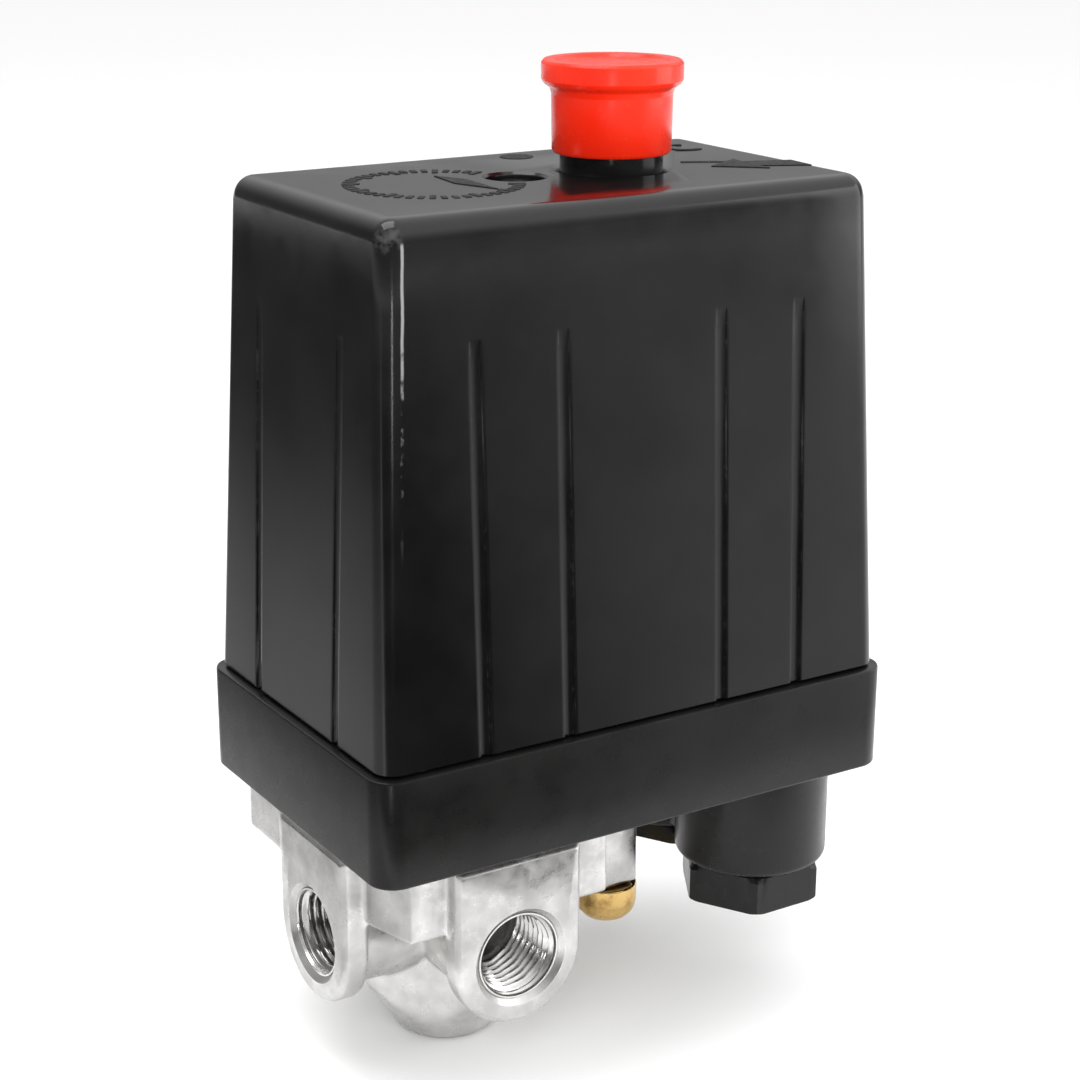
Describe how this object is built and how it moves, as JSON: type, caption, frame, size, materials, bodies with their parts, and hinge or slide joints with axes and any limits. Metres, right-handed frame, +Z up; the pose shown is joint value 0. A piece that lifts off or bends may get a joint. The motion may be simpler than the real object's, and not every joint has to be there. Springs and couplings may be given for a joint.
{
  "type": "air compressor pressure switch",
  "caption": "Black plastic cased pressure switch with a red pull knob, a ported cast aluminium manifold, an unloader valve and cable glands under it.",
  "frame": {"origin": "centre of the tank port's lower face, at the foot of the manifold", "axes": "+Z up along the tank port's axis, +X along the case towards the cable glands, -Y is the front wide side"},
  "size_m": [0.09, 0.0572, 0.1485],
  "materials": {
    "case_black": "semi-gloss moulded ABS",
    "nylon_black": "satin moulded nylon",
    "red_plastic": "gloss",
    "die_cast": "bright tumbled die casting",
    "zinc_steel": "zinc plated",
    "spring_steel": "oiled spring wire",
    "brass": "turned and polished",
    "rubber": "matt",
    "bakelite": "moulded insulating resin"
  },
  "bodies": {
    "housing": {"cover": "case_black", "base_tray": "nylon_black", "cover_screw": "zinc_steel", "cover_post": "zinc_steel", "gland_nut_front": "nylon_black", "gland_nut_back": "nylon_black", "gland_seal_front": "rubber", "gland_seal_back": "rubber", "manifold": "die_cast", "diaphragm": "rubber", "base_plate": "zinc_steel", "earth_screw": "brass", "lever_pin": "zinc_steel", "spring_bridge": "zinc_steel", "spring_plate": "zinc_steel", "adjusting_screw": "zinc_steel", "range_spring": "spring_steel", "trip_pin": "zinc_steel", "contact_block": "bakelite", "carrier_spring": "spring_steel", "unloader_body": "die_cast", "unloader_nut": "zinc_steel", "unloader_spring": "spring_steel", "unloader_fitting": "brass", "bridge_screw_front": "zinc_steel", "bridge_screw_back": "zinc_steel", "flange_screw_1": "zinc_steel", "flange_screw_2": "zinc_steel", "flange_screw_3": "zinc_steel", "flange_screw_4": "zinc_steel", "terminal_front_left": "brass", "terminal_screw_front_left": "zinc_steel", "terminal_front_right": "brass", "terminal_screw_front_right": "zinc_steel", "terminal_back_left": "brass", "terminal_screw_back_left": "zinc_steel", "terminal_back_right": "brass", "terminal_screw_back_right": "zinc_steel"},
    "knob": {"knob_cap": "red_plastic", "knob_stem": "case_black"},
    "trip": {"trip_lever": "zinc_steel"},
    "carrier": {"contact_carrier": "nylon_black", "moving_contact_front": "brass", "moving_contact_back": "brass"},
    "lever": {"main_lever": "zinc_steel"},
    "plunger": {"pressure_plunger": "zinc_steel"},
    "valve_pin": {"unloader_pin": "brass"}
  },
  "joints": [
    {"name": "knob_slide", "type": "slide", "parent": "housing", "child": "knob", "axis": [0, 0, 1], "range_m": [0, 0.006]},
    {"name": "lever_tilt", "type": "hinge", "parent": "housing", "child": "lever", "pos_m": [-0.0175, 0, 0.052], "axis": [0, -1, 0], "range_deg": [0, 3], "stiffness_Nm_per_rad": 2, "deforming": ["range_spring"]},
    {"name": "trip_turn", "type": "hinge", "parent": "housing", "child": "trip", "pos_m": [0.0557, 0, 0.0855], "axis": [0, 1, 0], "range_deg": [0, 13.3]},
    {"name": "carrier_lift", "type": "slide", "parent": "housing", "child": "carrier", "axis": [0, 0, 1], "range_m": [0, 0.00302], "deforming": ["carrier_spring"]},
    {"name": "plunger_lift", "type": "slide", "parent": "housing", "child": "plunger", "axis": [0, 0, 1], "range_m": [0, 0.00093]},
    {"name": "valve_lift", "type": "slide", "parent": "housing", "child": "valve_pin", "axis": [0, 0, 1], "range_m": [0, 0.00253], "deforming": ["unloader_spring"]}
  ],
  "couplings": [
    {"joint": "trip_turn", "follows": "knob_slide", "rad_per_m": 38.46},
    {"joint": "carrier_lift", "follows": "knob_slide", "ratio": 0.5},
    {"joint": "plunger_lift", "follows": "lever_tilt", "m_per_rad": 0.0175},
    {"joint": "valve_lift", "follows": "lever_tilt", "m_per_rad": 0.048}
  ]
}
